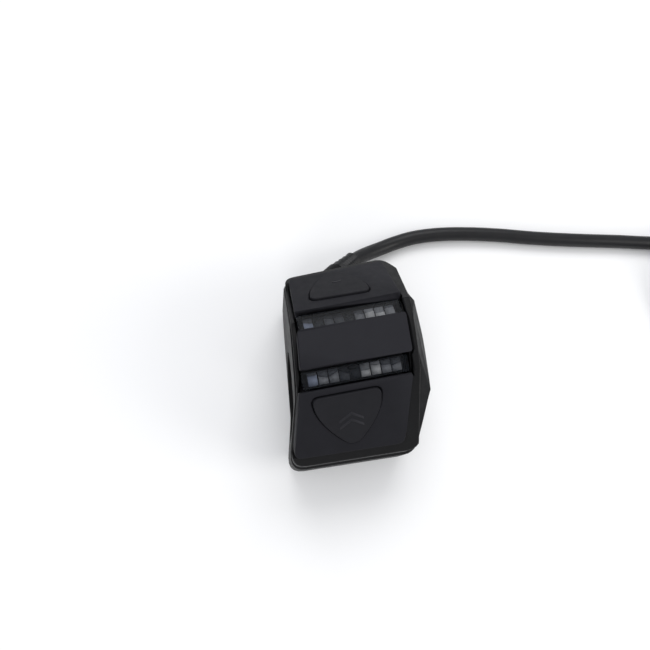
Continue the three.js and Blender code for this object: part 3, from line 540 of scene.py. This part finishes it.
def make_liner(side, sign):
    """Half a round of the profile, above the bar where sign is 1 and below it where it is -1."""
    profile = liner_profile()
    bm = bmesh.new()
    rows = []
    for step in range(LINER_STEPS + 1):
        row = []
        for x, radius in profile:
            edge = math.asin(LINER_SPLIT_MM / radius)
            angle = edge + (math.pi - 2 * edge) * step / LINER_STEPS
            across, up = radius * math.cos(angle), sign * radius * math.sin(angle)
            row.append(bm.verts.new((x * MM, across * MM, up * MM)))
        rows.append(row)
    for first, second in zip(rows, rows[1:]):
        for i in range(len(profile)):
            j = (i + 1) % len(profile)
            bm.faces.new((first[i], first[j], second[j], second[i]))
    bm.faces.new(rows[0])
    bm.faces.new(rows[-1][::-1])
    new_piece(f"{side}_ribbed_liner", bm, LINER, "housing", [f"{side}_bar_liner"])


# Return springs round the middle key's stems
STEM_AT_MM = (-8.5, 8.5)
SPRING_RADIUS_MM, SPRING_WIRE_MM = 1.6, 0.21
SPRING_BOTTOM_MM, SPRING_LENGTH_MM = -5.55, 3.08
SPRING_TURNS, SPRING_STEPS, WIRE_SIDES = 5, 150, 8
END_SHARE = 0.16  # the share of the wire that lies in each closed end turn
END_RISE_MM = 0.36


def spring_height(t):
    """The wire's height at a share t of its way: closed end turns and even open ones between."""
    if t < END_SHARE:
        return END_RISE_MM * t / END_SHARE
    if t > 1 - END_SHARE:
        return SPRING_LENGTH_MM - END_RISE_MM * (1 - t) / END_SHARE
    return END_RISE_MM + (SPRING_LENGTH_MM - 2 * END_RISE_MM) * (t - END_SHARE) / (1 - 2 * END_SHARE)


def make_spring(number, u):
    """A coil spring round the key's stem at u."""
    bm = bmesh.new()
    rings = []
    for step in range(SPRING_STEPS + 1):
        t = step / SPRING_STEPS
        angle = 2 * math.pi * SPRING_TURNS * t
        outward = Vector((math.cos(angle), math.sin(angle), 0))
        centre = Vector((u, 0, SPRING_BOTTOM_MM + spring_height(t))) + SPRING_RADIUS_MM * outward
        ring = []
        for side in range(WIRE_SIDES):
            turn = 2 * math.pi * side / WIRE_SIDES
            across = math.cos(turn) * outward + Vector((0, 0, math.sin(turn)))
            ring.append(bm.verts.new(centre + SPRING_WIRE_MM * across))
        rings.append(ring)
    for first, second in zip(rings, rings[1:]):
        for i in range(WIRE_SIDES):
            j = (i + 1) % WIRE_SIDES
            bm.faces.new((first[i], first[j], second[j], second[i]))
    bm.faces.new(rings[0])
    bm.faces.new(rings[-1][::-1])
    strip = facet(2)
    bm.transform(strip)
    replaced = [f"key_spring_{number}"]
    spring = new_piece(f"return_spring_{number}", bm, SPRING_STEEL, "housing", replaced)
    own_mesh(spring)


# The connector's knurled ring and pins, turned round its axis
PLUG_START_MM = (162.7, 6.0, -9.25)
KNURLS, KNURL_RADIUS_MM = 32, 4.9
KNURL_DEPTH_MM = 0.16
PIN_CIRCLE_MM = 1.75
PINS, PIN_SIDES = 5, 12
SOCKET_FLOOR_MM = 20.4


def plug_place(radius, angle, along):
    """A point round the plug's axis, which runs back towards the rider from the boot."""
    x, y, z = PLUG_START_MM
    return ((x + radius * math.cos(angle)) * MM, (y - along) * MM, (z + radius * math.sin(angle)) * MM)


def turned(bm, profile, steps, centre=(0.0, 0.0), cut=None):
    """A closed profile of (radius, along) pairs turned round the plug's axis, or round a line beside it.

    cut gives what is taken off a point's radius, from its step and its place in the profile.
    """
    rings = []
    for step in range(steps):
        angle = 2 * math.pi * step / steps
        ring = []
        for index, (radius, along) in enumerate(profile):
            if cut:
                radius -= cut(step, index)
            place = Vector(plug_place(radius, angle, along))
            ring.append(bm.verts.new(place + Vector((centre[0], 0, centre[1])) * MM))
        rings.append(ring)
    for step, ring in enumerate(rings):
        following = rings[(step + 1) % steps]
        for i in range(len(profile)):
            j = (i + 1) % len(profile)
            bm.faces.new((ring[i], ring[j], following[j], following[i]))


def make_knurled_ring():
    profile = [(3.9, 14.0), (4.5, 14.0), (4.7, 14.2), (4.7, 14.7)]
    profile += [(KNURL_RADIUS_MM, 14.9), (KNURL_RADIUS_MM, 20.2)]
    profile += [(4.7, 20.4), (4.7, 20.9), (4.5, 21.1), (3.9, 21.1)]
    knurled = [index for index, (radius, _) in enumerate(profile) if radius == KNURL_RADIUS_MM]
    bm = bmesh.new()
    turned(bm, profile, 4 * KNURLS, cut=lambda step, i: KNURL_DEPTH_MM * (step % 4 < 2 and i in knurled))
    return new_piece("knurled_ring", bm, SHELL, "housing", ["connector_ring"])


def make_pins():
    bm = bmesh.new()
    outline = [(0.02, -0.1), (0.38, -0.1), (0.38, 3.4), (0.3, 3.75), (0.14, 3.95), (0.02, 4.0)]
    profile = [(radius, SOCKET_FLOOR_MM + along) for radius, along in outline]
    for pin in range(PINS):
        angle = 2 * math.pi * (pin + 0.5) / PINS
        turned(bm, profile, PIN_SIDES, (PIN_CIRCLE_MM * math.cos(angle), PIN_CIRCLE_MM * math.sin(angle)))
    return new_piece("connector_pins", bm, BRASS, "housing")


# The lead, its coil and its tail as one cord
COIL_CENTRE_MM, COIL_RADIUS_MM = (134.0, 19.4), 24.0
COIL_SWEEP, COIL_STEP = 405, 15  # degrees
COIL_LIFT_MM = 4.5  # the turn's end climbs this far, to pass over the lead
CLIMB_FROM, CLIMB_SWEEP = 260, 65
TAIL_CENTRE_MM, TAIL_RADIUS_MM = (122.7, 8.09), 40.0
TAIL_FROM, TAIL_STEP = 36, 9
DROP_FROM, DROP_SWEEP = 24, 18
TAIL_END_HEIGHT_MM = -9.2
CURVE_STEPS = 6  # points in the cord for each one of the route


def round_place(centre, radius, degrees, height):
    """A point on a level circle."""
    angle = math.radians(degrees)
    return (centre[0] + radius * math.cos(angle), centre[1] + radius * math.sin(angle), height)


def lead_route():
    """The lead's way: down from its exit, along the surface, once round the coil and into the boot."""
    low = LEAD_LOW_MM
    route = [
        (-3.17, 30.96, -4.45), (2.75, 36.1, -6.05), (8.25, 40.85, -7.54), (10.9, 42.75, -8.6),
        (14.2, 44.6, -10.1), (18.2, 46.4, -11.3), (23.5, 48.4, low), (30.0, 49.95, low),
        (38.0, 50.6, low), (47.0, 50.35, low), (58.0, 49.3, low), (70.0, 47.6, low),
        (84.0, 46.1, low), (98.0, 44.9, low), (110.0, 43.7, low), (117.4, 43.4, low), (126.0, 43.4, low),
    ]
    for turned_by in range(0, COIL_SWEEP + 1, COIL_STEP):
        rise = COIL_LIFT_MM * smoothstep((turned_by - CLIMB_FROM) / CLIMB_SWEEP)
        route.append(round_place(COIL_CENTRE_MM, COIL_RADIUS_MM, 90 - turned_by, low + rise))
    for degrees in range(TAIL_FROM, 0, -TAIL_STEP):
        share = smoothstep((DROP_FROM - degrees) / DROP_SWEEP)
        height = low + COIL_LIFT_MM + (TAIL_END_HEIGHT_MM - low - COIL_LIFT_MM) * share
        route.append(round_place(TAIL_CENTRE_MM, TAIL_RADIUS_MM, degrees, height))
    route += [(162.45, 12.0, -9.22), (162.66, 9.0, -9.25), (162.7, 6.6, -9.25), (162.7, 4.5, -9.25)]
    return [Vector(point) * MM for point in route]


def make_lead():
    points = catmull(lead_route(), CURVE_STEPS)
    data = bpy.data.curves.new("lead_cord", "CURVE")
    data.dimensions = "3D"
    data.bevel_depth = LEAD_RADIUS_MM * MM
    data.bevel_resolution = 7
    data.use_fill_caps = True
    spline = data.splines.new("POLY")
    spline.points.add(len(points) - 1)
    for slot, point in zip(spline.points, points):
        slot.co = (*point, 1)
    spline.use_smooth = True
    data.materials.append(SHEATH)
    lead = bpy.data.objects.new("lead_cord", data)
    scene.collection.objects.link(lead)
    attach(lead, "housing")
    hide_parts("signal_lead", "lead_coil", "lead_tail")
    return lead


lead = make_lead()


# Floor and light
FLOOR_HALF = 3.0
WORLD_STRENGTH = 0.58
AIM = (0, 0.01, 0)


def make_floor():
    bm = bmesh.new()
    corners = ((-1, -1), (1, -1), (1, 1), (-1, 1))
    bm.faces.new([bm.verts.new((x * FLOOR_HALF, y * FLOOR_HALF, BASE_MM * MM)) for x, y in corners])
    mesh = bpy.data.meshes.new("floor")
    bm.to_mesh(mesh)
    bm.free()
    floor = bpy.data.objects.new("floor", mesh)
    scene.collection.objects.link(floor)
    nodes = Nodes("floor_paint")
    nodes.link(nodes.blend(nodes.noise(6), (0.86,) * 3, (0.88,) * 3), nodes.shader.inputs["Base Color"])
    nodes.shader.inputs["Roughness"].default_value = 0.9
    nodes.shader.inputs["Specular IOR Level"].default_value = 0.1
    mesh.materials.append(nodes.material)


def make_light(name, place, size, power, colour=(1, 1, 1)):
    """A soft panel in metres and watts, aimed at the pod."""
    data = bpy.data.lights.new(name, "AREA")
    data.shape = "RECTANGLE"
    data.size, data.size_y = size
    data.energy = power
    data.color = colour
    light = bpy.data.objects.new(name, data)
    light.location = place
    light.rotation_mode = "QUATERNION"
    light.rotation_quaternion = (Vector(place) - Vector(AIM)).to_track_quat("Z", "Y")
    scene.collection.objects.link(light)


def make_world():
    world = bpy.data.worlds.new("studio")
    world.use_nodes = True
    background = world.node_tree.nodes["Background"]
    background.inputs["Color"].default_value = (0.93, 0.95, 1.0, 1)
    background.inputs["Strength"].default_value = WORLD_STRENGTH
    scene.world = world


make_floor()
make_world()
make_light("key", (0.05, 0.55, 0.75), (0.7, 0.5), 4.2)
make_light("top", (-0.15, -0.05, 0.9), (0.6, 0.6), 1.1)
make_light("side", (0.7, -0.25, 0.45), (0.4, 0.5), 2.2, (1.0, 0.98, 0.93))
make_light("rider", (-0.25, -0.8, 0.5), (0.5, 0.4), 1.8)

# Housing
EDGE_MM, FINE_EDGE_MM, SCREW_EDGE_MM = 0.3, 0.2, 0.14
SHELLS = {
    "top_bezel": "bezel_shell", "clamp_body": "upper_clamp_half", "lower_clamp_shell": "lower_clamp_half",
}
PADS = {"lower_paddle": "lower_pad", "upper_paddle": "upper_pad", "middle_key": "middle_pad"}
SCREWS = range(1, 5)
for node, name in SHELLS.items():
    rounded(node, name, EDGE_MM, SHELL)
for number in SCREWS:
    rounded(f"clamp_screw_{number}", f"socket_screw_{number}", SCREW_EDGE_MM, STEEL)

# Pads, shields and windows
for body, name in PADS.items():
    rounded(body, name, EDGE_MM, PAD, body)
for side in ("lower", "upper"):
    rounded(f"{side}_shield_inlay", f"{side}_shield", FINE_EDGE_MM, INLAY, f"{side}_paddle")
for side in ("lower", "upper"):
    rounded(f"{side}_window_lens", f"{side}_lens", FINE_EDGE_MM, LENS)
make_light_segments("lower", 1)
make_light_segments("upper", 3)
make_marks()

# Liners, springs and connector
make_liner("upper", 1)
make_liner("lower", -1)
for number, u in enumerate(STEM_AT_MM, 1):
    make_spring(number, u)
knurled_ring = make_knurled_ring()
connector_pins = make_pins()

# Nodes kept as they are, with their own finish
FINISHES = {
    "inner_chassis": SWITCH, "controller_chip": SWITCH, "controller_board": BOARD, "wire_header": PLUNGER,
    "strain_relief": SHEATH, "connector_boot": SHEATH, "connector_body": SHELL,
    "lower_light_board": LIGHT_BOARD, "upper_light_board": LIGHT_BOARD,
    "lower_hinge_pin": PIN_STEEL, "upper_hinge_pin": PIN_STEEL,
}
for side in ("lower", "upper", "middle"):
    FINISHES[f"{side}_switch_body"] = SWITCH
    FINISHES[f"{side}_switch_plunger"] = PLUNGER
    FINISHES[f"{side}_switch_board"] = LIGHT_BOARD
for number in SCREWS:
    FINISHES[f"clamp_insert_{number}"] = BRASS
for node, material in FINISHES.items():
    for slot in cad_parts[node].material_slots:
        slot.material = material
